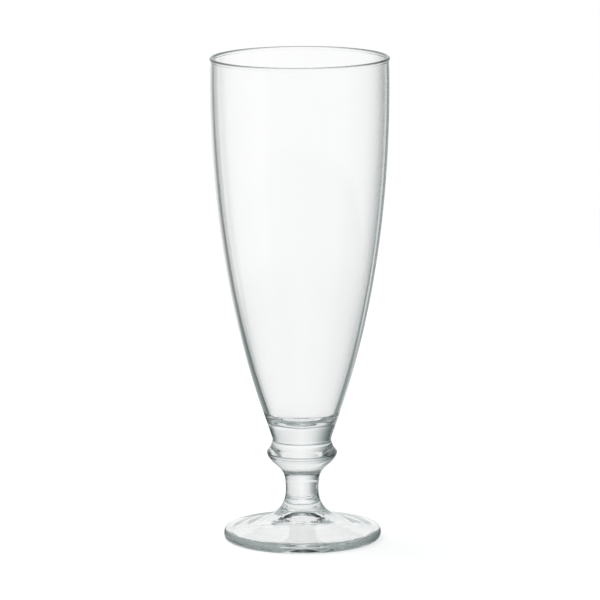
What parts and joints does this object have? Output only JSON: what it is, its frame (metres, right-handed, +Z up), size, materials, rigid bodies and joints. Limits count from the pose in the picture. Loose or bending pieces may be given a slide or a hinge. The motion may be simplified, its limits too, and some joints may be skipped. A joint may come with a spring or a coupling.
{
  "type": "pilsner glass",
  "caption": "Tall stemmed pilsner glass: a tapered bowl with a thick solid base, a short knopped stem and a round flared foot, fused from clear glass.",
  "frame": {"origin": "on the table, under the axis of the glass, at the centre of the resting ring", "axes": "+Z up along the axis of the glass, towards the rim; the glass is round, so +X and +Y are free"},
  "size_m": [0.0734, 0.0734, 0.1996],
  "materials": {
    "bowl_glass": "fire polished, clear",
    "stem_glass": "pressed, clear",
    "foot_glass": "pressed, clear"
  },
  "bodies": {
    "root": {"bowl": "bowl_glass", "stem": "stem_glass", "foot": "foot_glass"}
  },
  "joints": []
}
